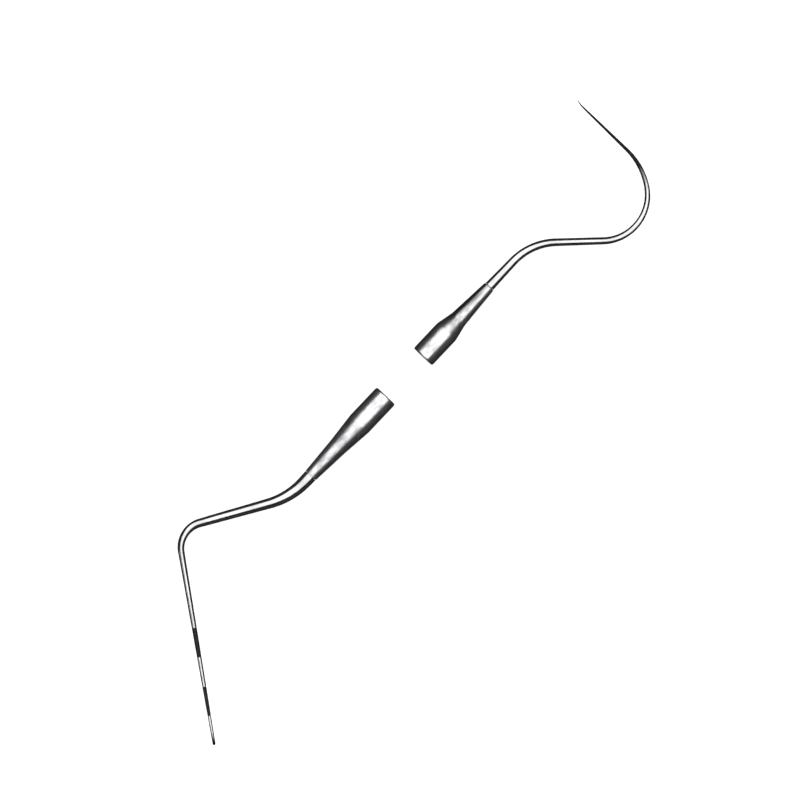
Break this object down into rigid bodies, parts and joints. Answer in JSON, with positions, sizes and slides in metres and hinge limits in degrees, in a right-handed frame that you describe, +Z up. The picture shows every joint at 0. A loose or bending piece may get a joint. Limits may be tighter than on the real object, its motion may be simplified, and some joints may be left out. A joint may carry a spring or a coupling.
{
  "type": "dental explorer and depth probe",
  "caption": "Working ends of a dental hand instrument: a hooked explorer and a depth probe with black bands, each a bent, tapered steel wire in a turned collar.",
  "frame": {"origin": "under the middle of the instrument's footprint, on the surface it lies on", "axes": "+X along the handle's axis towards the explorer, +Y level, in the plane that the wires are bent in, +Z up out of that plane"},
  "size_m": [0.0726, 0.0182, 0.0026],
  "materials": {
    "collar_steel": "fine turned stainless steel, satin",
    "wire_steel": "ground and polished stainless steel",
    "braze_silver": "silver braze, lightly polished",
    "band_black": "black filler, cured and rubbed flush"
  },
  "bodies": {
    "root": {"explorer_collar": "collar_steel", "explorer_wire": "wire_steel", "explorer_braze": "braze_silver", "probe_collar": "collar_steel", "probe_wire": "wire_steel", "probe_braze": "braze_silver", "probe_band_3_6": "band_black", "probe_band_9_12": "band_black"}
  },
  "joints": []
}
